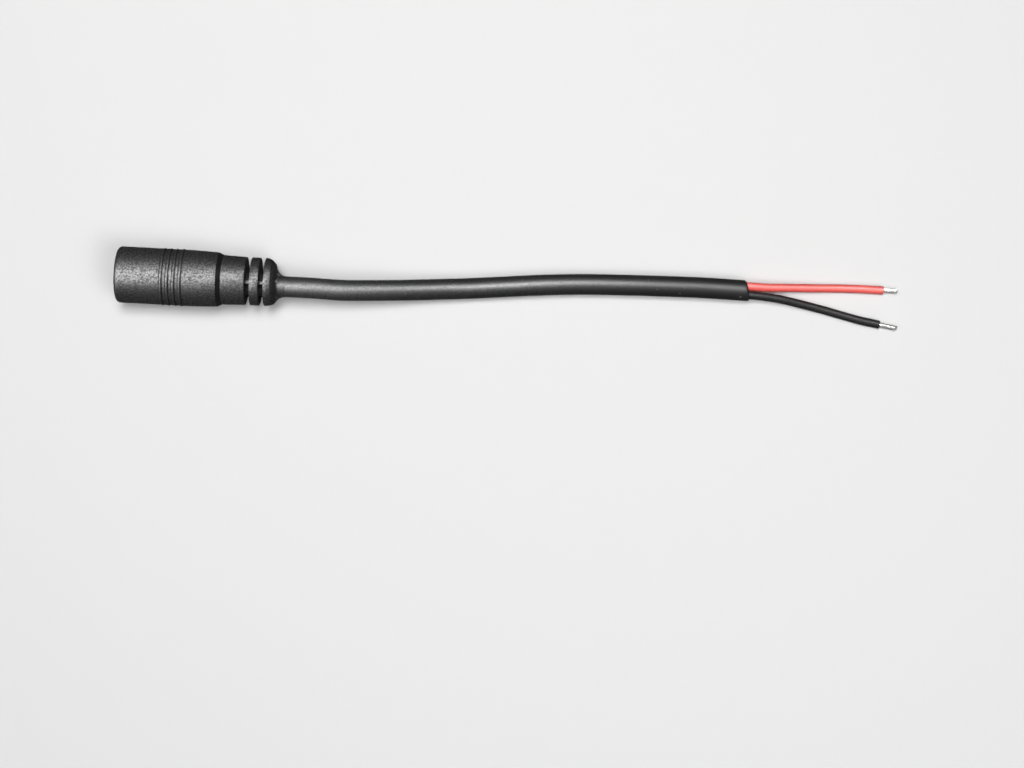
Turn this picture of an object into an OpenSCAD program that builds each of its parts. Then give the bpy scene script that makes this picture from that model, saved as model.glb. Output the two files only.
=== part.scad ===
// In-line moulded power socket on a two-core pigtail, lying on a flat surface.
// X runs from the socket's mouth along its axis towards the cable, and Z is up.
// The origin is on the socket's axis, in the plane of the mouth.

/* [Moulded body] */
// Diameter of the grip section
body_d = 10.8; // [9.6:0.1:13]
// Length of the straight grip section, from the mouth
grip_len = 13; // [13:0.5:20]
// Length of the barrelled taper behind the grip section
taper_len = 6.4; // [4:0.2:12]
// Loss of radius over the taper
taper_drop = 0.2; // [0.1:0.05:0.4]
// Length of the conical step down to the neck
step_len = 0.9; // [0.6:0.1:2]
// Height of the step
step_drop = 0.45; // [0.3:0.05:0.6]
// Length of the neck, up to the first slot
neck_len = 4.5; // [3:0.1:8]
// Loss of radius along the neck
neck_drop = 0.15; // [0.05:0.05:0.3]
// Radius of the rounded rim at the mouth
mouth_round = 0.9; // [0.3:0.1:1]

/* [Grip rings] */
// Number of raised rings
bead_count = 4; // [1:1:6]
// Width of one ring
bead_w = 0.6; // [0.4:0.05:0.9]
// Height of a ring above the grip section
bead_h = 0.1; // [0.05:0.01:0.2]
// Distance from one ring to the next
bead_pitch = 1.2; // [1:0.05:1.6]
// Distance from the mouth to the middle of the first ring
bead_start = 8.9; // [3:0.1:9.5]

/* [Strain relief] */
// Number of flex slots
slot_count = 2; // [1:1:4]
// Width of a slot
slot_w = 0.95; // [0.6:0.05:1.4]
// Thickness of the wall round the cable that a slot leaves
slot_wall = 0.3; // [0.2:0.05:0.6]
// Width of the ring between two slots
ring_w = 1.7; // [1:0.1:3]
// Width of the webs that bridge a slot, above and below
web_w = 0.65; // [0.4:0.05:1.2]
// Depth of a web's rear end below the ring behind it
web_drop = 0.1; // [0.05:0.05:0.3]
// Depth of a web's front end below the neck
web_dip = 0.6; // [0.3:0.05:0.9]
// Turn of the webs from straight above and below, as the socket lies
web_turn = 5; // [0:1:15]
// Length from the last slot to the end face
end_len = 2.1; // [2.1:0.1:3]
// Radius of the rounded end of the strain relief
end_round = 2; // [0.8:0.1:2]
// Length of the cuff round the cable, past the end face
cuff_len = 1.8; // [1:0.1:3]
// Thickness of the cuff
cuff_wall = 0.1; // [0.05:0.05:0.3]
// Radius of the fillet between the end face and the cuff
cuff_fillet = 0.5; // [0.2:0.1:0.8]
// Depth of the two gussets beside the cable below the last ring
gusset_drop = 0.4; // [0.2:0.05:0.6]
// Radius of the hollow flank of the gussets
gusset_flare = 2; // [1.4:0.1:2.4]
// Radius of the gussets' shoulder
gusset_round = 1.4; // [1.2:0.1:2]
// Thickness of the gussets
gusset_t = 1.4; // [0.6:0.1:2]
// Length of the short ribs above and below the cuff
rib_len = 0.55; // [0.3:0.05:1]
// Height of these ribs over the cuff
rib_h = 0.2; // [0.1:0.05:0.3]
// Distance of the cable's axis from the socket's axis
exit_offset = 0.7; // [0:0.05:0.9]

/* [Socket insert] */
// Diameter of the socket, for a plug of 5.5 mm
socket_d = 6.2; // [5.8:0.05:6.4]
// Depth of the socket
socket_depth = 10; // [8:0.5:11]
// Thickness of the wall behind the socket
rear_wall = 3.5; // [2:0.25:5]
// Outside diameter of the insert
insert_d = 8.4; // [8.3:0.1:8.8]
// Chamfer at the socket's mouth
mouth_chamfer = 0.3; // [0.1:0.05:0.4]
// Number of locking grooves round the insert
lock_count = 2; // [1:1:3]
// Width of a locking groove
lock_w = 1.2; // [0.6:0.1:1.6]
// Depth of a locking groove
lock_depth = 0.25; // [0.1:0.05:0.3]
// Distance from the mouth to the first locking groove
lock_start = 4; // [2:0.5:5]
// Distance from one locking groove to the next
lock_pitch = 4; // [2:0.5:4]

/* [Centre pin] */
// Diameter of the pin, for a plug with a hole of 2.1 mm
pin_d = 2; // [1.3:0.05:2.5]
// Depth of the pin's tip behind the mouth
pin_recess = 1; // [0.2:0.1:2]
// Radius of the rounded tip
pin_round = 0.7; // [0.2:0.1:0.9]
// Diameter of the collar on the socket's floor
collar_d = 3; // [2.4:0.1:3.6]
// Thickness of the collar
collar_t = 0.8; // [0.4:0.1:1.5]
// Diameter of the riveted tail
tail_d = 1.5; // [1:0.1:1.8]
// Diameter of the rivet head
rivet_d = 2.3; // [2:0.1:2.6]
// Height of the rivet head
rivet_h = 0.35; // [0.2:0.05:0.6]

/* [Lug and leaf] */
// Thickness of the pin's lug
lug_t = 0.4; // [0.2:0.05:0.5]
// Diameter of the lug's eye
lug_d = 3.6; // [3:0.1:4]
// Width of the lug's tab
tab_w = 1.8; // [1.4:0.1:2.2]
// Length of both solder tabs behind the insert
tab_len = 4.6; // [4:0.2:6]
// Thickness of the leaf contact
leaf_t = 0.3; // [0.2:0.05:0.35]
// Width of the leaf contact
leaf_w = 2.4; // [1.6:0.1:2.6]
// Distance from the mouth to the leaf's tip
leaf_start = 3.4; // [2.6:0.2:4.2]
// Distance from the mouth to the top of the leaf's bow
bow_x = 5.4; // [5:0.2:7]
// Distance from the mouth to the root of the leaf's bow
bow_root = 8.6; // [8:0.2:9.4]
// Reach of the bow into the socket, past its wall
bow_reach = 0.5; // [0.2:0.05:0.7]
// Set of the leaf's tip away from its seat
tip_lift = 0.2; // [0:0.05:0.4]
// Clearance beside the leaf in its channel
leaf_clear = 0.05; // [0.02:0.01:0.1]
// Depth of the leaf behind the socket's wall
leaf_sink = 0.05; // [0.02:0.01:0.1]

/* [Cable] */
// Diameter of the jacket
cable_d = 4; // [3.9:0.1:4.6]
// Slant of the jacket's cut end
cut_slant = 13; // [0:1:20]
// Diameter of an insulated core
core_d = 1.6; // [1.3:0.05:1.6]
// Diameter of a stranded conductor
strand_d = 0.76; // [0.5:0.02:0.9]
// Diameter of a tinned end
tinned_d = 0.9; // [0.7:0.05:1.1]
// Bare length of the red lead
red_tip = 2.7; // [2:0.1:6]
// Bare length of the black lead
black_tip = 3.3; // [2:0.1:6]
// Clearance round a core in the jacket, and round a conductor in its insulation
core_clear = 0.05; // [0.02:0.01:0.06]
// Length of bare conductor between the solder and the core, and of solder past its end
strip_lead = 0.3; // [0.1:0.1:0.6]
// Length of a solder joint
solder_len = 2.2; // [1.6:0.2:2.6]
// Radius of a solder joint
solder_r = 0.75; // [0.5:0.05:0.9]
// Thickness of the solder between a conductor and its tab
solder_film = 0.1; // [0.05:0.05:0.2]
// Length over which the cores spread from the jacket to their tabs
spread_len = 2.8; // [2:0.2:4]
// Length of core that stands out of the jacket's inner end
core_bare = 0.5; // [0.3:0.1:1]

/* [Hidden] */
$fn = 96;
tube_sides = 12;
core_sides = 8;
arc_steps = 8;
over = 1;

body_r = body_d / 2;
taper_end_r = body_r - taper_drop;
neck_r = taper_end_r - step_drop;
relief_r = neck_r - neck_drop;
socket_r = socket_d / 2;
insert_r = insert_d / 2;
pin_r = pin_d / 2;
cable_r = cable_d / 2;
core_r = core_d / 2;
strand_r = strand_d / 2;

step_x = grip_len + taper_len;
neck_x = step_x + step_len;
slot_x = neck_x + neck_len;
slot_pitch = slot_w + ring_w;
end_x = slot_x + slot_count * slot_pitch - ring_w + end_len;
exit_x = end_x + cuff_len;
taper_arc = (taper_len * taper_len + taper_drop * taper_drop) / (2 * taper_drop);
bead_arc = (bead_w * bead_w / 4 + bead_h * bead_h) / (2 * bead_h);
cuff_r = cable_r + cuff_wall;
shoulder_r = relief_r - exit_offset - gusset_drop;
gusset_bend = gusset_flare + gusset_round;
gusset_foot = cable_r + cuff_wall / 2;
gusset_slant = acos(1 - (shoulder_r - gusset_foot) / gusset_bend);

insert_len = socket_depth + rear_wall;
leaf_inner = socket_r + leaf_sink;
leaf_outer = leaf_inner + leaf_t;
tab_end = insert_len + tab_len;
solder_end = tab_end - strip_lead;
solder_start = solder_end - solder_len;
wire_start = solder_start + strip_lead;

core_offset = core_r + core_clear;
core_spread = leaf_inner - solder_film - strand_r - exit_offset;
core_start = tab_end + strip_lead;
core_bend = core_start + spread_len;
jacket_start = core_bend + core_bare;
tab_face = core_spread - exit_offset + strand_r + solder_film;

// The leaf's centre line, from its tip over the bow to the end of its tail
leaf_mid = leaf_inner + leaf_t / 2;
leaf_line = [
    [leaf_start, tip_lift - leaf_mid],
    [bow_x, bow_reach - socket_r - leaf_t / 2],
    [bow_root, -leaf_mid],
    [tab_end, -leaf_mid]
];

// Route of the cable, from the cuff: straight out, down to the surface and along it
cable_route = [
    [0, 0, 0], [5.5, 0, 0], [10.5, -0.1, -0.4], [16.5, 0.2, -1.2], [22.5, 0.6, -2.1],
    [28.5, 1.1, -2.9], [34.5, 1.6, -3.4], [40.5, 2.2, -3.5], [48.5, 3, -3.5], [56.5, 3.6, -3.5],
    [64.5, 3.9, -3.5], [72.5, 4.1, -3.5], [80.5, 4.2, -3.5], [89.2, 4.1, -3.5]
];
// Routes of the two leads past the jacket's end, from the cuff
red_route = [
    [92.5, 4.9, -3.7], [97.5, 5.1, -4.1], [102.5, 5.3, -4.5], [106.5, 5.5, -4.7],
    [110.5, 5.6, -4.7], [115.6, 5.6, -4.7]
];
black_route = [
    [92.5, 3.1, -3.7], [95.5, 2.8, -3.9], [99.5, 2.1, -4.3], [103.5, 1.3, -4.6], [107.5, 0.4, -4.7],
    [111, -0.4, -4.7], [115.2, -1.1, -4.7]
];

function unit(v) = v / norm(v);
function arc(middle, r, from, to) = [
    for (i = [0:arc_steps])
        let (a = from + (to - from) * i / arc_steps)
        middle + r * [cos(a), sin(a)]
];

// A frame is a point on a route, the level direction to its left, and the direction above it
function frame_at(points, i) =
    let (
        ahead = unit(points[min(i + 1, len(points) - 1)] - points[max(i - 1, 0)]),
        left = unit(cross([0, 0, 1], ahead))
    )
    [points[i], left, cross(ahead, left)];
function frames(points) = [for (i = [0:len(points) - 1]) frame_at(points, i)];
function shifted(list, side) = [for (f = list) [f[0] + side * f[1], f[1], f[2]]];
function places(list) = [for (f = list) f[0]];
function ahead_of(f) = cross(f[1], f[2]);
function last(list) = list[len(list) - 1];
function from_cuff(points) = [for (p = points) p + [exit_x, -exit_offset, 0]];

function round_section(r, sides, turn) =
    [for (i = [0:sides - 1]) r * [cos(turn + i * 360 / sides), sin(turn + i * 360 / sides)]];

// Two half rounds side by side, with as many points as the jacket's own section
function pair_section(r, apart) =
    let (half = tube_sides / 2, step = 180 / (half - 1))
    [for (side = [0, 1], i = [0:half - 1])
        let (a = side * 180 - 90 + i * step)
        [apart * cos(side * 180) + r * cos(a), r * sin(a)]];

jacket_section = round_section(cable_r, tube_sides, 180 / tube_sides - 90);
jacket_hollow = pair_section(core_r + core_clear, core_offset);
core_section = round_section(core_r, core_sides, 0);
core_hollow = round_section(strand_r + core_clear / 2, core_sides, 0);
strand_section = round_section(strand_r, core_sides, 0);

jacket_frames = frames(concat([[jacket_start, -exit_offset, 0]], from_cuff(cable_route)));

// The jacket's last frame leans back on its left side, where the cut is
function cut_off(list, slant) =
    let (end = last(list))
    concat(
        [for (i = [0:len(list) - 2]) list[i]],
        [[end[0], end[1] - tan(slant) * ahead_of(end), end[2]]]
    );

// A core comes from its tab, bends to the jacket, follows it and goes on along its own route
function core_frames(side, free_route) =
    let (
        inside = shifted(jacket_frames, side * core_offset),
        before = [
            [core_start, side * core_spread - exit_offset, 0],
            [core_bend, side * core_offset - exit_offset, 0]
        ],
        all = frames(concat(before, places(inside), from_cuff(free_route))),
        after = len(before) + len(inside)
    )
    concat(
        [for (i = [0:len(before) - 1]) all[i]],
        inside,
        [for (i = [after:len(all) - 1]) all[i]]
    );
red_frames = core_frames(1, red_route);
black_frames = core_frames(-1, black_route);

function tab_frame(side) = [[wire_start, side * core_spread - exit_offset, 0], [0, 1, 0], [0, 0, 1]];
function stepped_on(f, d) = [f[0] + d * ahead_of(f), f[1], f[2]];

function rings(list, section) = [for (f = list, q = section) f[0] + q[0] * f[1] + q[1] * f[2]];
function wall(n, rows, base, flip) = [
    for (k = [0:rows - 2], i = [0:n - 1])
        let (
            a = base + k * n + i,
            b = base + k * n + (i + 1) % n,
            quad = [a, b, b + n, a + n]
        )
        flip ? [quad[3], quad[2], quad[1], quad[0]] : quad
];
function ring_cap(n, outer, inner, flip) = [
    for (i = [0:n - 1])
        let (j = (i + 1) % n, quad = [outer + i, inner + i, inner + j, outer + j])
        flip ? [quad[3], quad[2], quad[1], quad[0]] : quad
];

module swept_rod(list, section) {
    n = len(section);
    rows = len(list);
    first_cap = [for (i = [0:n - 1]) i];
    last_cap = [for (i = [0:n - 1]) rows * n - 1 - i];
    polyhedron(rings(list, section), concat(wall(n, rows, 0, true), [last_cap, first_cap]));
}

module swept_tube(list, section, hollow) {
    n = len(section);
    rows = len(list);
    inner = n * rows;
    polyhedron(
        concat(rings(list, section), rings(list, hollow)),
        concat(
            wall(n, rows, 0, true),
            wall(n, rows, inner, false),
            ring_cap(n, 0, inner, true),
            ring_cap(n, inner - n, 2 * inner - n, false)
        )
    );
}

// Turns a profile, drawn as radius across and distance from the mouth up, about the socket's axis
module turned() {
    rotate([0, 90, 0])
        rotate_extrude()
            children();
}

module on_cable_axis() {
    translate([0, -exit_offset, 0])
        children();
}

module rod_x(r, from, to) {
    translate([from, 0, 0])
        rotate([0, 90, 0])
            cylinder(r = r, h = to - from);
}

module rod_between(r, a, b) {
    d = b - a;
    translate(a)
        rotate([0, acos(d[2] / norm(d)), atan2(d[1], d[0])])
            cylinder(r = r, h = norm(d));
}

// What is left of a square corner outside its round, to be cut away
module corner_waste(corner, r, up) {
    middle = corner - r * [1, up];
    difference() {
        translate(up > 0 ? middle : middle - [0, r])
            square(r + over);
        translate(middle)
            circle(r);
        if (up < 0)
            translate(corner + [-r, r])
                square([r + over, over]);
    }
}

module grip_profile() {
    square([body_r, grip_len]);
    intersection() {
        translate([0, grip_len])
            square([body_r, taper_len]);
        translate([body_r - taper_arc, grip_len])
            circle(taper_arc, $fn = 720);
    }
    for (i = [0:bead_count - 1])
        translate([body_r + bead_h - bead_arc, bead_start + i * bead_pitch])
            circle(bead_arc);
}

module neck_profile() {
    polygon([
        [0, step_x], [taper_end_r, step_x], [neck_r, neck_x],
        [relief_r, slot_x], [relief_r, end_x], [0, end_x]
    ]);
}

module body_profile() {
    difference() {
        union() {
            grip_profile();
            neck_profile();
        }
        corner_waste([body_r, 0], mouth_round, -1);
        corner_waste([relief_r, end_x], end_round, 1);
    }
}

// A flex slot goes down to a thin wall round the cable
module slot(front) {
    difference() {
        rod_x(relief_r + over, front, front + slot_w);
        on_cable_axis()
            rod_x(cable_r + slot_wall, front - over, front + slot_w + over);
    }
}

// A web stands in the slot, and rises to just under the ring behind it
module web(front) {
    start = front - web_drop;
    end = front + slot_w + web_drop;
    root = cable_r - slot_wall;
    rotate([90, 0, 0])
        translate([0, 0, -web_w / 2])
            linear_extrude(web_w)
                polygon([
                    [start, root], [end, root], [end, relief_r - web_drop], [start, relief_r - web_dip]
                ]);
}

// A sleeve round the cable, with a fillet against the end face
module cuff() {
    on_cable_axis()
        turned() {
            translate([0, end_x - over])
                square([cuff_r, cuff_len + over]);
            difference() {
                translate([0, end_x - over])
                    square([cuff_r + cuff_fillet, cuff_fillet + over]);
                translate([cuff_r + cuff_fillet, end_x + cuff_fillet])
                    circle(cuff_fillet);
            }
        }
}

// A plate beside the cable that runs from the last ring to the cuff's end in an S-curve
module gusset(side) {
    round_x = exit_x - gusset_bend * sin(gusset_slant);
    edge = concat(
        arc([round_x, shoulder_r - gusset_round], gusset_round, 90, 90 - gusset_slant),
        arc([exit_x, gusset_foot + gusset_flare], gusset_flare, 270 - gusset_slant, 270)
    );
    on_cable_axis()
        translate([0, 0, -gusset_t / 2])
            linear_extrude(gusset_t)
                polygon([for (p = concat([[round_x, 0]], edge, [[exit_x, 0]])) [p[0], side * p[1]]]);
}

module short_ribs() {
    top = cuff_r + rib_h;
    translate([end_x - over, -web_w / 2, -top])
        cube([rib_len + over, web_w, 2 * top]);
}

// The insert with its locking grooves, before the socket is opened
module insert_blank() {
    turned()
        difference() {
            square([insert_r, insert_len]);
            for (i = [0:lock_count - 1])
                translate([insert_r - lock_depth, lock_start + i * lock_pitch])
                    square([lock_depth + over, lock_w]);
        }
}

module lug_blank() {
    rod_x(lug_d / 2, insert_len, insert_len + lug_t);
    translate([insert_len, 0, -tab_w / 2])
        cube([lug_t, tab_face + lug_t, tab_w]);
    translate([insert_len, tab_face, -tab_w / 2])
        cube([tab_len, lug_t, tab_w]);
}

module leaf_profile() {
    for (i = [0:len(leaf_line) - 2]) {
        run = leaf_line[i + 1] - leaf_line[i];
        translate(leaf_line[i])
            rotate(atan2(run[1], run[0]))
                translate([0, -leaf_t / 2])
                    square([norm(run), leaf_t]);
    }
    for (i = [0:len(leaf_line) - 2])
        translate(leaf_line[i])
            circle(d = leaf_t);
}

// A solder joint lies on its tab's inner face, round the conductor
module solder_blank(side) {
    flat = side * (core_spread + strand_r + solder_film);
    on_cable_axis()
        intersection() {
            translate([0, side * core_spread, 0])
                turned()
                    intersection() {
                        hull_of_rounds(solder_r, solder_start, solder_end);
                        translate([0, solder_start])
                            square([solder_r, solder_len]);
                    }
            translate([solder_start, side > 0 ? flat - 2 * solder_r : flat, -solder_r])
                cube([solder_len, 2 * solder_r, 2 * solder_r]);
        }
}

// A bar with round ends, as a profile
module hull_of_rounds(r, from, to) {
    translate([0, from + r])
        square([r, to - from - 2 * r]);
    for (x = [from + r, to - r])
        translate([0, x])
            circle(r);
}

// The way of a core and of its bare conductor through the moulding, up to the jacket
module core_way(side, list) {
    start = tab_frame(side);
    swept_rod([start, stepped_on(start, solder_len + 2 * strip_lead)], strand_section);
    swept_rod([list[0], list[1], list[2], stepped_on(list[2], core_bare)], core_section);
}

module overmould() {
    color([0.16, 0.16, 0.17])
        difference() {
            union() {
                difference() {
                    turned()
                        body_profile();
                    for (i = [0:slot_count - 1])
                        slot(slot_x + i * slot_pitch);
                }
                for (i = [0:slot_count - 1], turn = [0, 180])
                    rotate([turn + web_turn, 0, 0])
                        web(slot_x + i * slot_pitch);
                cuff();
                for (side = [-1, 1])
                    gusset(side);
                short_ribs();
            }
            insert_blank();
            lug_blank();
            rod_x(rivet_d / 2, insert_len, insert_len + lug_t + rivet_h);
            translate([insert_len - over, -leaf_outer, -leaf_w / 2])
                cube([tab_len + over, leaf_t, leaf_w]);
            for (side = [-1, 1])
                solder_blank(side);
            core_way(1, red_frames);
            core_way(-1, black_frames);
            on_cable_axis()
                rod_x(cable_r, jacket_start, exit_x + over);
        }
}

module jack_insulator() {
    channel_w = leaf_w + 2 * leaf_clear;
    color([0.1, 0.1, 0.1])
        difference() {
            insert_blank();
            rod_x(socket_r, -over, socket_depth);
            turned()
                polygon([
                    [0, -mouth_chamfer], [socket_r + 2 * mouth_chamfer, -mouth_chamfer],
                    [socket_r, mouth_chamfer], [0, mouth_chamfer]
                ]);
            rod_x(collar_d / 2, socket_depth - over, socket_depth + collar_t);
            rod_x(tail_d / 2, socket_depth, insert_len + over);
            translate([leaf_start - 2 * leaf_t, -leaf_outer, -channel_w / 2])
                cube([socket_depth - leaf_start + 2 * leaf_t, leaf_outer, channel_w]);
            translate([socket_depth - over, -leaf_outer, -leaf_w / 2])
                cube([rear_wall + 2 * over, leaf_t, leaf_w]);
        }
}

module centre_pin() {
    lug_back = insert_len + lug_t;
    color([0.8, 0.79, 0.75])
        turned()
            difference() {
                union() {
                    translate([0, pin_recess])
                        square([pin_r, socket_depth - pin_recess]);
                    translate([0, socket_depth])
                        square([collar_d / 2, collar_t]);
                    translate([0, socket_depth])
                        square([tail_d / 2, lug_back - socket_depth]);
                    translate([0, lug_back])
                        square([rivet_d / 2, rivet_h]);
                }
                corner_waste([pin_r, pin_recess], pin_round, -1);
            }
}

module pin_lug() {
    color([0.75, 0.72, 0.62])
        difference() {
            lug_blank();
            rod_x(tail_d / 2, insert_len - over, insert_len + lug_t + over);
        }
}

module sleeve_spring() {
    color([0.78, 0.76, 0.7])
        translate([0, 0, -leaf_w / 2])
            linear_extrude(leaf_w)
                leaf_profile();
}

module solder_joint(side) {
    difference() {
        solder_blank(side);
        on_cable_axis()
            translate([0, side * core_spread, 0])
                rod_x(strand_r, wire_start, solder_end + over);
    }
}

module pin_solder() {
    color([0.7, 0.7, 0.72])
        solder_joint(1);
}

module sleeve_solder() {
    color([0.7, 0.7, 0.72])
        solder_joint(-1);
}

module cable_jacket() {
    color([0.13, 0.13, 0.13])
        swept_tube(cut_off(jacket_frames, cut_slant), jacket_section, jacket_hollow);
}

module red_insulation() {
    color([0.9, 0.2, 0.17])
        swept_tube(red_frames, core_section, core_hollow);
}

module black_insulation() {
    color([0.14, 0.14, 0.14])
        swept_tube(black_frames, core_section, core_hollow);
}

// A conductor runs from its tab through the insulation to a round tinned end
module conductor(side, list, tip) {
    end = last(list);
    swept_rod(concat([tab_frame(side)], list, [stepped_on(end, tip / 2)]), strand_section);
    rod_between(tinned_d / 2, end[0], stepped_on(end, tip)[0]);
}

module red_conductor() {
    color([0.85, 0.85, 0.85])
        conductor(1, red_frames, red_tip);
}

module black_conductor() {
    color([0.85, 0.85, 0.85])
        conductor(-1, black_frames, black_tip);
}

overmould();
jack_insulator();
centre_pin();
pin_lug();
sleeve_spring();
pin_solder();
sleeve_solder();
cable_jacket();
red_insulation();
black_insulation();
red_conductor();
black_conductor();
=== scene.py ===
# Looks of a moulded power socket on a short two-core pigtail.
import math

import bpy
import numpy as np
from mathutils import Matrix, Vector


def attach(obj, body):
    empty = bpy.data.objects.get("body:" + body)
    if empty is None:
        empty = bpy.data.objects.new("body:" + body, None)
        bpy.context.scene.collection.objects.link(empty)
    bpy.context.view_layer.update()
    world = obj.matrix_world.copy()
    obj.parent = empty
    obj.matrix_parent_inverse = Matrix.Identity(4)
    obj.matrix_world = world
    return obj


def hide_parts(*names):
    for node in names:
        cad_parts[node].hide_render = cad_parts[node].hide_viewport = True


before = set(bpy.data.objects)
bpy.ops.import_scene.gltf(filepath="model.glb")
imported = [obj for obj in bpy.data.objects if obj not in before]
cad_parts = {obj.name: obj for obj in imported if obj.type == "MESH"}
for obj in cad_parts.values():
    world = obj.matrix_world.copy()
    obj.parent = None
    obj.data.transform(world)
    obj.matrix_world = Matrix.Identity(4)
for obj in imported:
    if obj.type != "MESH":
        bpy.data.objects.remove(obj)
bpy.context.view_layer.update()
scene = bpy.context.scene
scene.view_settings.view_transform = "Standard"
mm = 0.001


# Node trees
class Flow:
    def __init__(self, tree, socket=None):
        self.tree = tree
        self.socket = socket

    def node(self, kind, settings=None, values=None, out=0):
        made = self.tree.nodes.new(kind)
        for name, value in (settings or {}).items():
            setattr(made, name, value)
        for name, value in (values or {}).items():
            if isinstance(value, Flow):
                self.tree.links.new(value.socket, made.inputs[name])
            else:
                made.inputs[name].default_value = value
        return Flow(self.tree, made.outputs[out])

    def math(self, operation, *terms):
        return self.node("ShaderNodeMath", {"operation": operation}, dict(enumerate(terms)))

    def __add__(self, other):
        return self.math("ADD", self, other)

    def __sub__(self, other):
        return self.math("SUBTRACT", self, other)

    def __rsub__(self, other):
        return self.math("SUBTRACT", other, self)

    def __mul__(self, other):
        return self.math("MULTIPLY", self, other)

    def __truediv__(self, other):
        return self.math("DIVIDE", self, other)

    def __gt__(self, other):
        return self.math("GREATER_THAN", self, other)

    __radd__ = __add__
    __rmul__ = __mul__

    def noise(self, scale, detail=2.0, rough=0.5):
        return self.node(
            "ShaderNodeTexNoise", None,
            {"Vector": self, "Scale": scale, "Detail": detail, "Roughness": rough},
        )

    def ease(self, low, high):
        return self.node(
            "ShaderNodeMapRange", {"interpolation_type": "SMOOTHSTEP"},
            {"Value": self, "From Min": low, "From Max": high},
        )

    def axis(self, name):
        return self.node("ShaderNodeSeparateXYZ", None, {0: self}, name)

    def grey(self, tint=(1, 1, 1)):
        return self.node(
            "ShaderNodeCombineColor", None,
            {"Red": self * tint[0], "Green": self * tint[1], "Blue": self * tint[2]},
        )


def newMaterial(name, colour, roughness, **constants):
    made = bpy.data.materials.new(name)
    made.use_nodes = True
    made.diffuse_color = (*colour, 1)
    shader = made.node_tree.nodes["Principled BSDF"]
    shader.inputs["Base Color"].default_value = (*colour, 1)
    shader.inputs["Roughness"].default_value = roughness
    for key, value in constants.items():
        shader.inputs[key.replace("_", " ")].default_value = value
    return made, Flow(made.node_tree), shader


def feed(flow, shader, **sockets):
    for name, value in sockets.items():
        flow.tree.links.new(value.socket, shader.inputs[name.replace("_", " ")])


def objectPlace(flow):
    return flow.node("ShaderNodeTexCoord", None, None, "Object")


def bump(flow, height, distance, strength):
    return flow.node(
        "ShaderNodeBump", None,
        {"Height": height, "Distance": distance, "Strength": strength}, "Normal",
    )


# The fine grain of all the PVC, and how its specks stand out
grain = {"scale": 2900, "detail": 3.0, "rough": 0.66}
speckle = (0.37, 0.63)

# Where the mould was polished, and where the slots lie for their painted shade, in mm along the axis and
# out from it
polishAndSlotShade = {
    "step": ((19.38, 19.42), (20.26, 20.32)), "cuff": (30.3, 30.7),
    "slots": ((24.7, 24.8), (28.4, 28.5)), "slotDepth": (4.05, 4.5),
}


# Moulded PVC: a spark-eroded grain, but smooth on the step and the cuff, and deep in the slots dull, less
# glossy and darkened in colour as painted shade
def bodyMaterial():
    made, flow, shader = newMaterial(
        "bodyPvc", (0.012, 0.012, 0.0123), 0.5, Specular_IOR_Level=0.6, Coat_Roughness=0.5, Coat_IOR=1.82,
    )
    place = objectPlace(flow)
    along = place.axis("X")

    def stretch(start, end):
        return along.ease(start[0] * mm, start[1] * mm) * (1 - along.ease(end[0] * mm, end[1] * mm))

    step = stretch(*polishAndSlotShade["step"])
    cuff = along.ease(polishAndSlotShade["cuff"][0] * mm, polishAndSlotShade["cuff"][1] * mm)
    outward = place.axis("Y") * place.axis("Y") + place.axis("Z") * place.axis("Z")
    floorR, rimR = polishAndSlotShade["slotDepth"]
    deepSlotShade = stretch(*polishAndSlotShade["slots"]) * (1 - outward.ease((floorR * mm) ** 2, (rimR * mm) ** 2))
    rough = 1 - step - cuff
    relief = place.noise(**grain)
    sparkle = relief.ease(*speckle)
    # Deep in the slots the base colour is darkened: painted shade, with the gloss dulled there too
    tone = (0.006 + place.noise(420, 3.0, 0.6) * 0.005) * (1 - deepSlotShade * 0.6)
    feed(
        flow, shader,
        Base_Color=tone.grey((1, 1, 1.03)),
        Roughness=0.40 - step * 0.17 + cuff * 0.16 + rough * (0.16 - sparkle * 0.10) + deepSlotShade * 0.35,
        Coat_Weight=sparkle * (rough - deepSlotShade) + (0.4 + sparkle * 0.6) * cuff * 1.1,
        Normal=bump(flow, relief * rough, 0.05 * mm, 1.0),
    )
    return made


# Extruded PVC: faint draw lines, soft mottling and specks of dust, and duller towards both ends
def sheathMaterial(name, colour, roughness, gloss, coat, film, dull, mottling, dust):
    made, flow, shader = newMaterial(
        name, colour, roughness, Specular_IOR_Level=gloss, Coat_Roughness=film[0], Coat_IOR=film[1],
    )
    run = flow.node("ShaderNodeUVMap", {"uv_map": "run"})
    turn = run.axis("X") * (2 * math.pi)
    length = run.axis("Y")

    def wrapped(stretch):
        return flow.node(
            "ShaderNodeCombineXYZ", None,
            {"X": turn.math("COSINE", turn), "Y": turn.math("SINE", turn), "Z": length * stretch},
        )

    drawn = wrapped(40).noise(9, 2.0, 0.6)
    skin = wrapped(600).noise(3.2, 3.0, 0.6)
    place = objectPlace(flow)
    specks = place.noise(1700, 0.0).ease(0.855, 0.875) * dust
    sparkle = place.noise(**grain).ease(*speckle)
    moulded = 1 - length.ease(14 * mm, 42 * mm)
    worn = length.ease(48 * mm, 92 * mm)
    shade = 1 + (skin - 0.5) * mottling
    tint = {name: shade * level + specks * 0.4 for name, level in zip(("Red", "Green", "Blue"), colour)}
    feed(
        flow, shader,
        Base_Color=flow.node("ShaderNodeCombineColor", None, tint),
        Roughness=roughness + (skin - 0.5) * 0.12 + (moulded * 0.16 + worn * 0.05) * dull,
        Coat_Weight=(coat - (worn * 0.8 - moulded * 0.3) * dull) * (0.4 + sparkle * 0.6),
        Normal=bump(flow, drawn * 0.3 + skin, 0.012 * mm, 0.5),
    )
    return made


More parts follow.
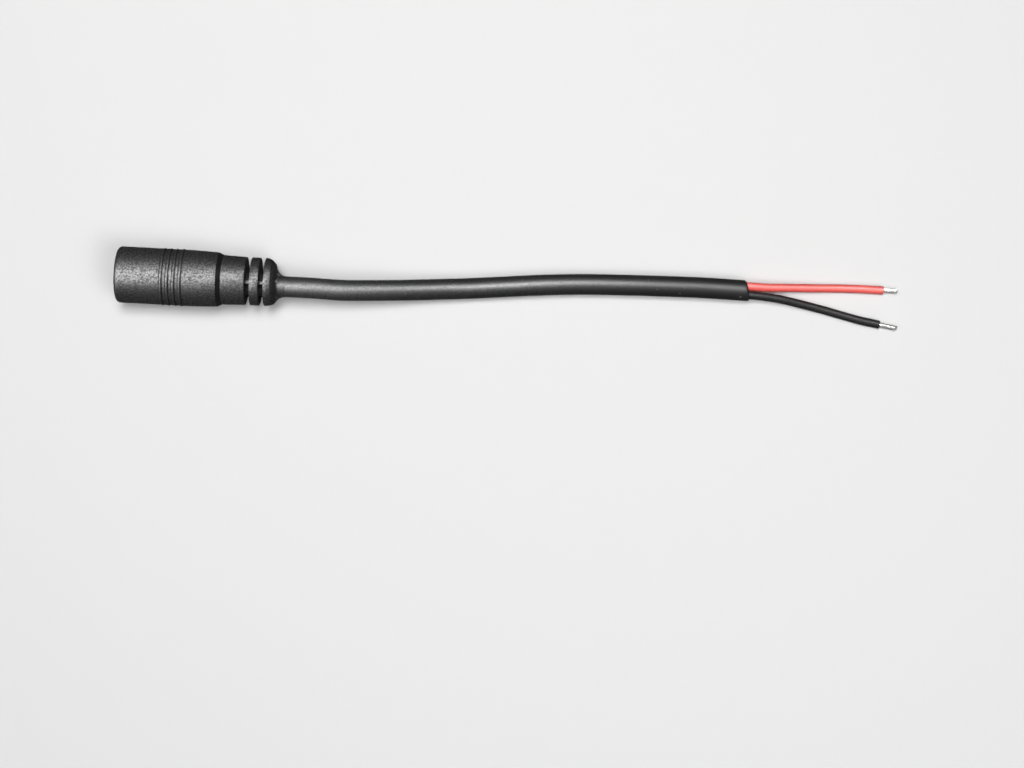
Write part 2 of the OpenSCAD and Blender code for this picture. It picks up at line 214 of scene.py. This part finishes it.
# Bare metal: an uneven sheen and faint dents
def metalMaterial(name, colour, roughness, scale, spread, metallic=1.0):
    made, flow, shader = newMaterial(name, colour, roughness, Metallic=metallic)
    cloud = objectPlace(flow).noise(scale, 3.0, 0.6)
    feed(
        flow, shader,
        Roughness=roughness + (cloud - 0.5) * spread,
        Normal=bump(flow, cloud, 0.01 * mm, 0.4),
    )
    return made


# Hard plastic of the insert: satin, with a fine grain
def insertMaterial():
    made, flow, shader = newMaterial("insertPlastic", (0.016, 0.016, 0.017), 0.38)
    place = objectPlace(flow)
    feed(
        flow, shader,
        Roughness=0.34 + place.noise(900, 3.0) * 0.1,
        Normal=bump(flow, place.noise(5200, 1.0), 0.01 * mm, 0.4),
    )
    return made


looks = {
    "body_pvc": bodyMaterial(),
    "insert_plastic": insertMaterial(),
    "plated_contact": metalMaterial(
        "platedContact", (0.72, 0.69, 0.62), roughness=0.26, scale=900, spread=0.16,
    ),
    "solder": metalMaterial("solderTin", (0.60, 0.60, 0.62), roughness=0.42, scale=1500, spread=0.2),
    "jacket_pvc": sheathMaterial(
        "jacketPvc", (0.010, 0.010, 0.0103), roughness=0.40, gloss=0.65, coat=0.8, film=(0.48, 1.8),
        dull=1.0, mottling=0.25, dust=0.6,
    ),
    "red_pvc": sheathMaterial(
        "redPvc", (0.92, 0.11, 0.09), roughness=0.45, gloss=1.0, coat=1.0, film=(0.33, 1.6),
        dull=0.0, mottling=0.10, dust=0.0,
    ),
    "black_pvc": sheathMaterial(
        "blackPvc", (0.010, 0.010, 0.0103), roughness=0.5, gloss=0.3, coat=0.45, film=(0.33, 1.6),
        dull=0.0, mottling=0.2, dust=0.3,
    ),
    "tinned_copper": metalMaterial(
        "tinnedCopper", (0.90, 0.90, 0.88), roughness=0.26, scale=2200, spread=0.2, metallic=0.75,
    ),
}
print("stage: materials")


# Meshes
def placed(name, data):
    made = bpy.data.objects.new(name, data)
    scene.collection.objects.link(made)
    return made


def shadeSmooth(mesh, crease):
    mesh.polygons.foreach_set("use_smooth", [True] * len(mesh.polygons))
    mesh.set_sharp_from_angle(angle=math.radians(crease))


def meshObject(name, points, faces, slot, uv, crease):
    mesh = bpy.data.meshes.new(name)
    mesh.from_pydata([tuple(p) for p in points], [], faces)
    layer = mesh.uv_layers.new(name="run")
    layer.data.foreach_set("uv", np.array(uv, np.float32).ravel())
    shadeSmooth(mesh, crease)
    mesh.materials.append(looks[slot])
    made = placed(name, mesh)
    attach(made, "root")
    return made


# Skins a stack of rings of equal count, closing both ends with a fan
def loft(name, rings, slot, crease=35):
    rings = np.array(rings, float)
    rows, sides = rings.shape[:2]
    points = list(rings.reshape(-1, 3)) + [rings[0].mean(axis=0), rings[-1].mean(axis=0)]
    along = np.r_[0, np.cumsum(np.linalg.norm(np.diff(rings.mean(axis=1), axis=0), axis=1))]
    faces, uv = [], []
    for k in range(rows - 1):
        for i in range(sides):
            j = (i + 1) % sides
            faces.append((k * sides + i, k * sides + j, (k + 1) * sides + j, (k + 1) * sides + i))
            left, right = i / sides, (i + 1) / sides
            uv += [(left, along[k]), (right, along[k]), (right, along[k + 1]), (left, along[k + 1])]
    last = (rows - 1) * sides
    for i in range(sides):
        j = (i + 1) % sides
        faces.append((rows * sides, j, i))
        faces.append((rows * sides + 1, last + i, last + j))
        uv += [(0, along[0])] * 3 + [(0, along[-1])] * 3
    return meshObject(name, points, faces, slot, uv, crease)


# Rounds the corners of a line with exact arcs: each corner is a point, a radius and a count
def roundedLine(corners):
    points = [np.array(c[0], float) for c in corners]
    line = [points[0]]
    for k in range(1, len(corners) - 1):
        before, here, after = points[k - 1], points[k], points[k + 1]
        radius, count = corners[k][1:]
        if not radius:
            line += [here] * max(1, count)
            continue
        back, ahead = before - here, after - here
        backLength, aheadLength = np.linalg.norm(back), np.linalg.norm(ahead)
        back, ahead = back / backLength, ahead / aheadLength
        half = math.acos(max(-1, min(1, float(back @ ahead)))) / 2
        reach = min(radius / math.tan(half), backLength * 0.98, aheadLength * 0.98)
        start, end = here + back * reach, here + ahead * reach
        weight = math.sin(half)
        for t in np.linspace(0, 1, count):
            a, b, c = (1 - t) ** 2, 2 * weight * t * (1 - t), t * t
            line.append((a * start + b * here + c * end) / (a + b + c))
    return np.array(line + [points[-1]])


# A smooth curve through points, with samples at most a step apart
def smoothRoute(points, step):
    points = np.array(points, float)
    run = np.r_[0, np.cumsum(np.linalg.norm(np.diff(points, axis=0), axis=1))]
    slope = np.gradient(points, run, axis=0)
    at = np.linspace(0, run[-1], math.ceil(run[-1] / step) + 1)
    i = np.clip(np.searchsorted(run, at, side="right") - 1, 0, len(points) - 2)
    width = (run[i + 1] - run[i])[:, None]
    t = (at[:, None] - run[i][:, None]) / width
    return (
        (1 + 2 * t) * (1 - t) ** 2 * points[i] + t * (1 - t) ** 2 * width * slope[i]
        + t * t * (3 - 2 * t) * points[i + 1] + t * t * (t - 1) * width * slope[i + 1]
    )


# The directions ahead, to the left and level, and upward, at each point of a route
def sides(route):
    ahead = np.gradient(route, axis=0)
    ahead /= np.linalg.norm(ahead, axis=1)[:, None]
    left = np.cross([0, 0, 1], ahead)
    left /= np.linalg.norm(left, axis=1)[:, None]
    return ahead, left, np.cross(ahead, left)


def circle(radius, count):
    turn = np.linspace(0, 2 * math.pi, count, endpoint=False)
    return np.stack([radius * np.cos(turn), radius * np.sin(turn)], axis=1)


# Two rounds side by side under one skin, by angle about their middle
def pairOutline(radius, apart, count):
    turn = np.linspace(0, 2 * math.pi, count, endpoint=False)
    across = np.abs(np.cos(turn))
    side = apart * across + np.sqrt(radius ** 2 - (apart * np.sin(turn)) ** 2)
    flat = radius / np.maximum(np.abs(np.sin(turn)), 1e-9)
    reach = np.where(flat * across < apart, flat, side)
    return np.stack([reach * np.cos(turn), reach * np.sin(turn)], axis=1)


# Moulded body: one skin from its seat round the insert, over the outside, to its bore round the cable
# A rear corner has a count of points, then its point and rounding on the plain, left and right lines
mould = {
    "bodyR": 5.4, "taperR": 5.2, "neckR": 4.75, "reliefR": 4.6, "floorR": 2.3, "seatR": 4.2, "boreR": 1.98,
    "seatX": 12, "seatRound": 0.07, "mouthRound": 0.8, "gripLen": 13.0, "taperPoints": 12,
    "stepX": 19.4, "neckX": 20.3, "stepRound": 0.05, "boreX": 23,
    "beads": (8.9, 10.1, 11.3, 12.5),
    "beadLine": (
        (-0.30, 0.0), (-0.22, -0.06), (-0.13, 0.05), (-0.04, 0.085), (0.06, 0.1), (0.18, 0.09),
        (0.26, 0.06), (0.34, -0.24), (0.43, -0.22), (0.51, 0.0),
    ),
    "slotX": (24.8, 27.45), "slotW": 0.95, "slotRimRound": 0.1, "slotFootRound": 0.14,
    "webTurn": 95, "webHalf": 4.3, "webDip": 0.56, "webDrop": 0.14,
    "webToeRound": 0.06, "webCrestRound": 0.04, "webRimRound": 0.05,
    "rearCorners": (
        (4, ((29.0, 4.6, 0), 1.0), None, ((28.9, 4.52, -0.05), 1.0)),
        (4, ((29.68, 4.48, 0), 0.09), ((29.6, 4.32, 0), 0.5), ((29.35, 4.22, -0.26), 3.0)),
        (6, ((30.24, 3.92, 0), 0.6), ((30.12, 3.72, 0), 0.9), ((29.8, 3.9, -0.46), 3.0)),
    ),
    "rearFace": ((30.5, 3.2, 0), 0.4), "rearFaceLeft": ((30.42, 3.0, 0), 0.4),
    "endX": 30.5, "offset": 0.7, "cuffR": 2.1, "cuffFillet": 0.5,
    "gussetR": 3.5, "gussetFlare": 2.0, "gussetRound": 1.4, "gussetHalf": 12,
    "ribTurn": 68, "ribHalf": 8.5, "ribR": 2.32, "ribRound": 0.12, "ribLen": 0.6, "ribStep": 0.06,
    "ribFootR": 2.07, "exitX": 32.3, "exitR": 2.01, "exitRound": 0.02,
    "exitLift": 0.06, "exitLiftRound": 0.03, "flareEnd": (0.104, 0.102), "flareLift": 0.02,
    "columns": 160, "crease": 33, "bandEdges": (0.86, 1.14), "gussetBlend": (0.7, 2),
}


def mouldedBody():
    m = mould
    cableY = -m["offset"]
    plain = [
        ((m["seatX"], m["seatR"], 0), 0, 1), ((0, m["seatR"], 0), m["seatRound"], 4),
        ((0, m["bodyR"], 0), m["mouthRound"], 14),
    ]
    for middle in m["beads"]:
        for away, height in m["beadLine"]:
            plain.append(((middle + away, m["bodyR"] + height, 0), 0, 1))
    drop = m["bodyR"] - m["taperR"]
    for t in np.linspace(0, 1, m["taperPoints"])[1:-1]:
        x = m["gripLen"] + t * (m["stepX"] - m["gripLen"])
        plain.append(((x, m["bodyR"] - drop * t * t, 0), 0, 1))
    plain.append(((m["stepX"], m["taperR"], 0), m["stepRound"], 4))
    plain.append(((m["neckX"], m["neckR"], 0), m["stepRound"], 4))
    web, left, right, rib = [list(plain) for k in range(4)]

    def add(here, radius, count, onWeb=None, onLeft=None, onRight=None, onRib=None):
        for line, other in ((plain, None), (web, onWeb), (left, onLeft), (right, onRight), (rib, onRib)):
            point, bend = other or (here, radius)
            line.append((point, bend, count))

    floor, rim = m["floorR"], m["reliefR"]
    toe, crest = rim - m["webDip"], rim - m["webDrop"]
    for x in m["slotX"]:
        end = x + m["slotW"]
        add((x, rim, 0), m["slotRimRound"], 4)
        add((x, floor, cableY), m["slotFootRound"], 4, ((x, toe, 0), m["webToeRound"]))
        add((end, floor, cableY), m["slotFootRound"], 4, ((end, crest, 0), m["webCrestRound"]))
        add((end, rim, 0), m["slotRimRound"], 4, ((end, rim, 0), m["webRimRound"]))
    bend = m["gussetFlare"] + m["gussetRound"]
    slant = math.acos(1 - (m["gussetR"] - m["cuffR"]) / bend)
    shoulderX = m["exitX"] - bend * math.sin(slant) + m["gussetRound"] * math.tan(slant / 2)
    shoulder = ((shoulderX, m["gussetR"], cableY), m["gussetRound"])
    footX = m["exitX"] - m["gussetFlare"] * math.tan(slant / 2)
    foot = ((footX, m["cuffR"], cableY), m["gussetFlare"])
    for count, here, onLeft, onRight in m["rearCorners"]:
        add(*here, count, None, onLeft, onRight)
    add(*m["rearFace"], 6, None, m["rearFaceLeft"], shoulder)
    ribTop = ((m["endX"], m["ribR"], cableY), m["ribRound"])
    add((m["endX"], m["cuffR"], cableY), m["cuffFillet"], 8, None, foot, foot, ribTop)
    ribEnd = m["endX"] + m["ribLen"]
    for further, ribR, back in zip((0, m["ribStep"]), (m["ribR"], m["ribFootR"]), m["flareEnd"]):
        flare = ((m["exitX"] - back, m["exitR"] + m["flareLift"], cableY), 0)
        x = ribEnd + further
        add((x, m["ribFootR"], cableY), 0, 1, None, flare, flare, ((x, ribR, cableY), 0))
    lifted = ((m["exitX"], m["exitR"] + m["exitLift"], cableY), m["exitLiftRound"])
    add((m["exitX"], m["exitR"], cableY), m["exitRound"], 4, None, lifted)
    add((m["exitX"], m["boreR"], cableY), m["exitRound"], 2)
    add((m["boreX"], m["boreR"], cableY), 0, 1)
    lines = [roundedLine(line) for line in (plain, web, left, right, rib)]

    inner, outer = m["bandEdges"]
    even = np.linspace(0, 360, m["columns"], endpoint=False)
    extra = [
        middle + side * half * share
        for middle, half in (
            (m["webTurn"], m["webHalf"]), (m["webTurn"] + 180, m["webHalf"]),
            (m["ribTurn"], m["ribHalf"]), (360 - m["ribTurn"], m["ribHalf"]),
        )
        for side in (-1, 1) for share in (inner, 1.0, outer)
    ]
    turn = np.array(sorted(set(np.round(np.r_[even, extra], 4))))

    def near(middle, full, none):
        away = np.abs((turn - middle + 180) % 360 - 180)
        t = np.clip((none - away) / (none - full), 0, 1)
        return t * t * (3 - 2 * t)

    def band(middle, half):
        return near(middle, half * inner, half * outer)

    onWeb = band(m["webTurn"], m["webHalf"]) + band(m["webTurn"] + 180, m["webHalf"])
    onRib = band(m["ribTurn"], m["ribHalf"]) + band(360 - m["ribTurn"], m["ribHalf"])
    gussetFull, gussetNone = [m["gussetHalf"] * k for k in m["gussetBlend"]]
    onLeft = near(0, gussetFull, gussetNone)
    onRight = near(180, gussetFull, gussetNone)
    share = np.stack([1 - onWeb - onLeft - onRight - onRib, onWeb, onLeft, onRight, onRib])
    mixed = np.einsum("sc,srk->rck", share, np.array(lines))
    angle = np.radians(turn)
    x, r, shift = mixed[..., 0], mixed[..., 1], mixed[..., 2]
    rings = np.stack([x, shift + r * np.cos(angle), r * np.sin(angle)], axis=2) * mm
    made = loft("mouldedBody", rings[:, ::-1], "body_pvc", m["crease"])
    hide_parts("overmould")


mouldedBody()
print("stage: moulded body")

# Cords: the same routes as the solids, from the point where the cable leaves the cuff
exitPoint = np.array([mould["exitX"], -mould["offset"], 0.0])
cable = {
    "radius": 2.0, "sides": 48, "step": 0.5, "start": [[-9.3, 0, 0]], "hollow": 9.0, "lip": 0.4,
    "slant": 13, "clearance": 0.03,
    "route": [
        [0, 0, 0], [5.5, 0, 0], [10.5, -0.1, -0.4], [16.5, 0.2, -1.2], [22.5, 0.6, -2.1],
        [28.5, 1.1, -2.9], [34.5, 1.6, -3.4], [40.5, 2.2, -3.5], [48.5, 3, -3.5], [56.5, 3.6, -3.5],
        [64.5, 3.9, -3.5], [72.5, 4.1, -3.5], [80.5, 4.2, -3.5], [89.2, 4.1, -3.5],
    ],
}
cableRoute = smoothRoute(np.array(cable["start"] + cable["route"]) + exitPoint, cable["step"])
core = {
    "radius": 0.8, "apart": 0.85, "sides": 32, "step": 0.4, "inside": 8.0, "lip": 0.1, "hollow": 2.0,
    "wireR": 0.45, "holdEvery": 4, "holdSpan": 2.2,
}
strand = {
    "count": 8, "radius": 0.14, "bundleR": 0.30, "turnsPerMetre": 70.0, "tinnedPast": 0.6, "seed": 7,
    "pointsInside": 24, "cutWithin": 0.5, "firstOut": 0.25, "lastBack": 0.3, "outside": 9,
    "endBack": (0.12, 0.05, 0), "crease": 50, "sides": 12, "jitter": 0.16, "tinnedFade": 0.8,
    "blunt": 0.7, "bluntOver": (-0.06, 0.16),
}
leads = {
    "red": {
        "side": 1, "slot": "red_pvc", "tip": 2.7, "fill": 0.35, "slant": 0.3,
        "route": [
            [92.5, 4.9, -3.7], [97.5, 5.1, -4.1], [102.5, 5.3, -4.5], [106.5, 5.5, -4.7],
            [110.5, 5.6, -4.7], [115.6, 5.6, -4.7],
        ],
    },
    "black": {
        "side": -1, "slot": "black_pvc", "tip": 3.3, "fill": 1.12, "slant": 0.6,
        "route": [
            [92.5, 3.1, -3.7], [95.5, 2.8, -3.9], [99.5, 2.1, -4.3], [103.5, 1.3, -4.6],
            [107.5, 0.4, -4.7], [111, -0.4, -4.7], [115.2, -1.1, -4.7],
        ],
    },
}


tube = {"slantOver": 2.0, "lipClear": 1.6, "lipRows": 6, "throat": 1.03, "throatIn": (0.01, 0.1, 0.3)}


# Rings of a tube along a route: the outside, a rounded lip, and back inside for some way
def tubeRings(route, outer, inner, lip, hollow, slant=0):
    ahead, left, up = sides(route)
    run = np.r_[0, np.cumsum(np.linalg.norm(np.diff(route, axis=0), axis=1))]
    lean = math.tan(math.radians(slant))

    def ring(k, section, on=0.0):
        atEnd = max(0.0, 1 - (run[-1] - run[k] - on) / tube["slantOver"])
        shift = on - lean * atEnd * section[:, :1]
        return route[k] + ahead[k] * shift + section[:, :1] * left[k] + section[:, 1:] * up[k]

    end = len(route) - 1
    reach = np.abs(outer).max()
    rows = [ring(k, outer) for k in range(end + 1) if run[k] < run[-1] - tube["lipClear"] * lip]
    for t in np.radians(np.linspace(0, 90, tube["lipRows"])):
        drawnIn = 1 - lip * (1 - math.cos(t)) / reach
        rows.append(ring(end, outer * drawnIn, lip * (math.sin(t) - 1)))
    first, second, rest = tube["throatIn"]
    rows.append(ring(end, inner * tube["throat"], -first))
    rows.append(ring(end, inner, -second))
    rows += [ring(k, inner) for k in range(end, -1, -1) if run[-1] - hollow < run[k] < run[-1] - rest]
    return np.array(rows)


def lengthOf(route):
    return float(np.linalg.norm(np.diff(route, axis=0), axis=1).sum())


jacketHollow = pairOutline(core["radius"] + cable["clearance"], core["apart"], cable["sides"])
jacketRings = tubeRings(
    cableRoute, circle(cable["radius"], cable["sides"]), jacketHollow, cable["lip"], cable["hollow"],
    cable["slant"],
)
jacket = loft("cableJacket", jacketRings * mm, "jacket_pvc")
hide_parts("cable_jacket")
cableRoute * mm
print("stage: cable", round(lengthOf(cableRoute), 2))


# Bare strands: copies of a line wound round it, swelling into a tinned rod at the far end
def strandTree():
    tree = bpy.data.node_groups.new("strandBundle", "GeometryNodeTree")
    face = tree.interface
    face.new_socket("Geometry", in_out="INPUT", socket_type="NodeSocketGeometry")
    for name, kind in (
        ("Strands", "Int"), ("Bundle Radius", "Float"), ("Strand Radius", "Float"),
        ("Turns Per Metre", "Float"), ("Tinned Length", "Float"), ("Fill", "Float"), ("Seed", "Int"),
        ("Material", "Material"),
    ):
        face.new_socket(name, in_out="INPUT", socket_type="NodeSocket" + kind)
    face.new_socket("Geometry", in_out="OUTPUT", socket_type="NodeSocketGeometry")
    source = tree.nodes.new("NodeGroupInput")
    flow = Flow(tree)
    given = {s.name: Flow(tree, s) for s in source.outputs if s.name}
    copies = tree.nodes.new("GeometryNodeDuplicateElements")
    copies.domain = "SPLINE"
    tree.links.new(given["Geometry"].socket, copies.inputs["Geometry"])
    tree.links.new(given["Strands"].socket, copies.inputs["Amount"])
    index = Flow(tree, copies.outputs["Duplicate Index"])
    along = flow.node("GeometryNodeSplineParameter", None, None, "Length")
    total = flow.node("GeometryNodeSplineLength", None, None, "Length")
    toEnd = total - along
    tinned = 1 - toEnd.ease(given["Tinned Length"] * strand["tinnedFade"], given["Tinned Length"])
    outerOnes = index > 0.5
    jitter = flow.node(
        "FunctionNodeRandomValue", {"data_type": "FLOAT"},
        {"ID": index, "Seed": given["Seed"], 2: -strand["jitter"], 3: strand["jitter"]}, 1,
    )
    wound = along * given["Turns Per Metre"] * (2 * math.pi)
    phase = index / (given["Strands"] - 1) * (2 * math.pi) + jitter + wound
    ahead = flow.node("GeometryNodeInputTangent")
    normal = flow.node("GeometryNodeInputNormal")
    beside = flow.node("ShaderNodeVectorMath", {"operation": "CROSS_PRODUCT"}, {0: ahead, 1: normal})
    reach = given["Bundle Radius"] * outerOnes

    def scaled(vector, amount):
        return flow.node("ShaderNodeVectorMath", {"operation": "SCALE"}, {0: vector, "Scale": amount})

    offset = flow.node(
        "ShaderNodeVectorMath", {"operation": "ADD"},
        {
            0: scaled(normal, phase.math("COSINE", phase) * reach),
            1: scaled(beside, phase.math("SINE", phase) * reach),
        },
    )
    lines = Flow(tree, copies.outputs["Geometry"])
    moved = flow.node("GeometryNodeSetPosition", None, {"Geometry": lines, "Offset": offset})
    rod = given["Bundle Radius"] + given["Strand Radius"] * (given["Fill"] - 1)
    swell = tinned * (1 - outerOnes) * rod
    back, front = strand["bluntOver"]
    blunt = strand["blunt"] + toEnd.ease(back * mm, front * mm) * (1 - strand["blunt"])
    sized = flow.node(
        "GeometryNodeSetCurveRadius", None,
        {"Curve": moved, "Radius": (given["Strand Radius"] + swell) * blunt},
    )
    ring = flow.node(
        "GeometryNodeCurvePrimitiveCircle", {"mode": "RADIUS"},
        {"Resolution": strand["sides"], "Radius": 1.0},
    )
    skinned = flow.node(
        "GeometryNodeCurveToMesh", None,
        {
            "Curve": sized, "Profile Curve": ring, "Fill Caps": True,
            "Scale": flow.node("GeometryNodeInputRadius"),
        },
    )
    painted = flow.node(
        "GeometryNodeSetMaterial", None, {"Geometry": skinned, "Material": given["Material"]},
    )
    whole = flow.node("GeometryNodeRealizeInstances", None, {"Geometry": painted})
    sink = tree.nodes.new("NodeGroupOutput")
    tree.links.new(whole.socket, sink.inputs["Geometry"])
    return tree


# Grows a mesh from a line by a tree, and slants its far end
def grown(name, tree, seedObject, values, cut):
    modifier = seedObject.modifiers.new("grow", "NODES")
    modifier.node_group = tree
    for item in tree.interface.items_tree:
        if item.item_type == "SOCKET" and item.in_out == "INPUT" and item.name in values:
            modifier[item.identifier] = values[item.name]
    seedObject.update_tag()
    bpy.context.view_layer.update()
    shape = seedObject.evaluated_get(bpy.context.evaluated_depsgraph_get())
    mesh = bpy.data.meshes.new_from_object(shape)
    mesh.name = name
    bpy.data.objects.remove(seedObject)
    end, heading, beside, slant, within = cut
    points = np.empty(len(mesh.vertices) * 3)
    mesh.vertices.foreach_get("co", points)
    points = points.reshape(-1, 3)
    near = np.clip(1 + (points - end) @ heading / within, 0, 1)
    points += np.outer(near * slant * ((points - end) @ beside), heading)
    mesh.vertices.foreach_set("co", points.ravel())
    mesh.update()
    shadeSmooth(mesh, strand["crease"])
    made = placed(name, mesh)
    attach(made, "root")
    return made


def lineObject(name, route):
    line = bpy.data.curves.new(name, "CURVE")
    line.dimensions = "3D"
    spline = line.splines.new("POLY")
    spline.points.add(len(route) - 1)
    for point, place in zip(spline.points, route):
        point.co = (*place, 1)
    return placed(name, line)


bundle = strandTree()
jacketLeft = sides(cableRoute)[1]
last = len(cableRoute) - 1
keep = np.arange(len(cableRoute))[:: int(core["holdEvery"] / cable["step"])]
keep = keep[keep > last - core["holdSpan"] * core["inside"] / cable["step"]]
keep = np.unique(np.r_[keep, last])
for colour, lead in leads.items():
    held = cableRoute[keep] + lead["side"] * core["apart"] * jacketLeft[keep]
    whole = smoothRoute(np.concatenate([held, np.array(lead["route"]) + exitPoint]), core["step"])
    behind = np.linalg.norm(whole - held[-1], axis=1)
    before = np.arange(len(whole)) < behind.argmin()
    route = whole[~before | (behind < core["inside"])]
    rings = tubeRings(
        route, circle(core["radius"], core["sides"]), circle(core["wireR"], core["sides"]),
        core["lip"], core["hollow"],
    )
    sheath = loft(colour + "Insulation", rings * mm, lead["slot"])
    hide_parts(colour + "_insulation")
    heading = route[-1] - route[-2]
    heading /= np.linalg.norm(heading)
    spaced = np.linspace(strand["firstOut"], lead["tip"] - strand["lastBack"], strand["outside"])
    out = np.r_[spaced, lead["tip"] - np.array(strand["endBack"])]
    tip = [route[-1] + heading * d for d in out]
    wireRoute = np.concatenate([route[-strand["pointsInside"]:], tip])
    beside = np.cross([0, 0, 1], heading)
    bare = grown(
        colour + "Strands", bundle, lineObject(colour + "Line", wireRoute * mm),
        {
            "Strands": strand["count"], "Bundle Radius": strand["bundleR"] * mm,
            "Strand Radius": strand["radius"] * mm, "Turns Per Metre": strand["turnsPerMetre"],
            "Tinned Length": (lead["tip"] + strand["tinnedPast"]) * mm, "Fill": lead["fill"],
            "Seed": strand["seed"], "Material": looks["tinned_copper"],
        },
        (tip[-1] * mm, heading, beside, lead["slant"], strand["cutWithin"] * mm),
    )
    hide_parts(colour + "_conductor")
    held[-1] * mm
    route * mm
    print("stage:", colour, "lead", round(lengthOf(route), 2))


# Metal and the insert: the solids' own faces, merged and shaded smooth
def smoothCopy(node, name, slot, crease=30):
    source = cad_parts[node]
    mesh = source.data.copy()
    mesh.name = name
    made = placed(name, mesh)
    weld = made.modifiers.new("weld", "WELD")
    weld.merge_threshold = 0.001 * mm
    welded = bpy.data.meshes.new_from_object(made.evaluated_get(bpy.context.evaluated_depsgraph_get()))
    made.modifiers.remove(weld)
    made.data = welded
    welded.materials.clear()
    welded.materials.append(looks[slot])
    shadeSmooth(welded, crease)
    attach(made, "root")
    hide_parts(node)


smoothCopy("jack_insulator", "socketInsert", "insert_plastic")
smoothCopy("centre_pin", "contactPin", "plated_contact")
smoothCopy("sleeve_spring", "contactLeaf", "plated_contact")
for node, slot in (("pin_lug", "plated_contact"), ("pin_solder", "solder"), ("sleeve_solder", "solder")):
    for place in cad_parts[node].material_slots:
        place.material = looks[slot]
print("stage: contacts")


# Floor, light and camera
studio = {
    "paleGrey": 0.84, "floorGrey": 0.74, "floorRough": 0.9, "floorR": 3, "floorSides": 96, "floorZ": -5.5,
    "fade": (0.22, 0.62), "ambient": 0.045,
}
lamps = {
    "slantBox": {"place": (0.002, 0.123, 0.60), "size": (0.27, 0.19), "power": 3.1, "turn": 62},
    "gripGlint": {
        "place": (-0.30, -0.13, 0.55), "size": (0.20, 0.15), "power": 5.2, "target": (0.01, 0, 0),
        "diffuse": False,
    },
    "mouthGlint": {
        "place": (-0.45, -0.05, 0.40), "size": (0.3, 0.2), "power": 2.6, "target": (0, 0, 0),
        "diffuse": False,
    },
    "cableGlint": {
        "place": (0.14, 0.30, 0.56), "size": (0.12, 0.30), "power": 1.3, "target": (0.07, 0, 0),
        "diffuse": False,
    },
    "leadGlint": {
        "place": (0.26, 0.25, 0.50), "size": (0.12, 0.18), "power": 0.42, "target": (0.13, 0, 0),
        "diffuse": False,
    },
    "leadFill": {
        "place": (0.27, -0.16, 0.48), "size": (0.3, 0.3), "power": 1.3, "target": (0.14, 0, 0),
        "gloss": False,
    },
}
view = {
    "sensor": 36, "focalPixels": 2250, "widthPixels": 1024, "clip": 0.01,
    "place": (0.07682, -0.01708, 0.43269), "turn": 3.03,
}


# A pale floor that keeps its tone far off, where the lamps don't reach
def floorDisc():
    turn = np.linspace(0, 2 * math.pi, studio["floorSides"], endpoint=False)
    radius, height = studio["floorR"], studio["floorZ"] * mm
    mesh = bpy.data.meshes.new("floorDisc")
    mesh.from_pydata(
        [(radius * math.cos(t), radius * math.sin(t), height) for t in turn], [],
        [tuple(range(studio["floorSides"]))],
    )
    made, flow, shader = newMaterial("paleFloor", [studio["floorGrey"]] * 3, studio["floorRough"])
    away = flow.node("ShaderNodeVectorMath", {"operation": "LENGTH"}, {0: objectPlace(flow)}, "Value")
    seen = flow.node("ShaderNodeLightPath", None, None, "Is Camera Ray")
    pale = flow.node("ShaderNodeEmission", None, {"Color": (*[studio["paleGrey"]] * 3, 1)})
    lit = Flow(flow.tree, shader.outputs[0])
    faded = flow.node("ShaderNodeMixShader", None, {0: away.ease(*studio["fade"]) * seen, 1: lit, 2: pale})
    flow.tree.links.new(faded.socket, flow.tree.nodes["Material Output"].inputs["Surface"])
    mesh.materials.append(made)
    floor = placed("floorDisc", mesh)
    floor.visible_glossy = False


# A soft box that looks down, turned about the vertical, or tilted to a target
def softbox(name, place, size, power, turn=0, target=None, diffuse=True, gloss=True):
    light = bpy.data.lights.new(name, "AREA")
    light.shape = "RECTANGLE"
    light.size, light.size_y = size
    light.energy = power
    made = placed(name, light)
    made.location = place
    made.rotation_euler = (0, 0, math.radians(turn))
    if target:
        made.rotation_euler = (Vector(target) - Vector(place)).to_track_quat("-Z", "Y").to_euler()
    made.visible_diffuse, made.visible_glossy = diffuse, gloss


floorDisc()
for name, lamp in lamps.items():
    softbox(name, **lamp)
world = bpy.data.worlds.new("studio")
scene.world = world
world.use_nodes = True
sky = Flow(world.node_tree)
seen = sky.node("ShaderNodeLightPath", None, None, "Is Camera Ray")
backdrop = studio["ambient"] + seen * (studio["paleGrey"] - studio["ambient"])
feed(sky, world.node_tree.nodes["Background"], Color=backdrop.grey())

lens = bpy.data.cameras.new("overheadCamera")
lens.sensor_width = view["sensor"]
lens.lens = view["focalPixels"] / view["widthPixels"] * view["sensor"]
lens.clip_start = view["clip"]
camera = placed("overheadCamera", lens)
camera.location = view["place"]
camera.rotation_euler = (0, 0, math.radians(view["turn"]))
scene.camera = camera
print("stage: light and camera")
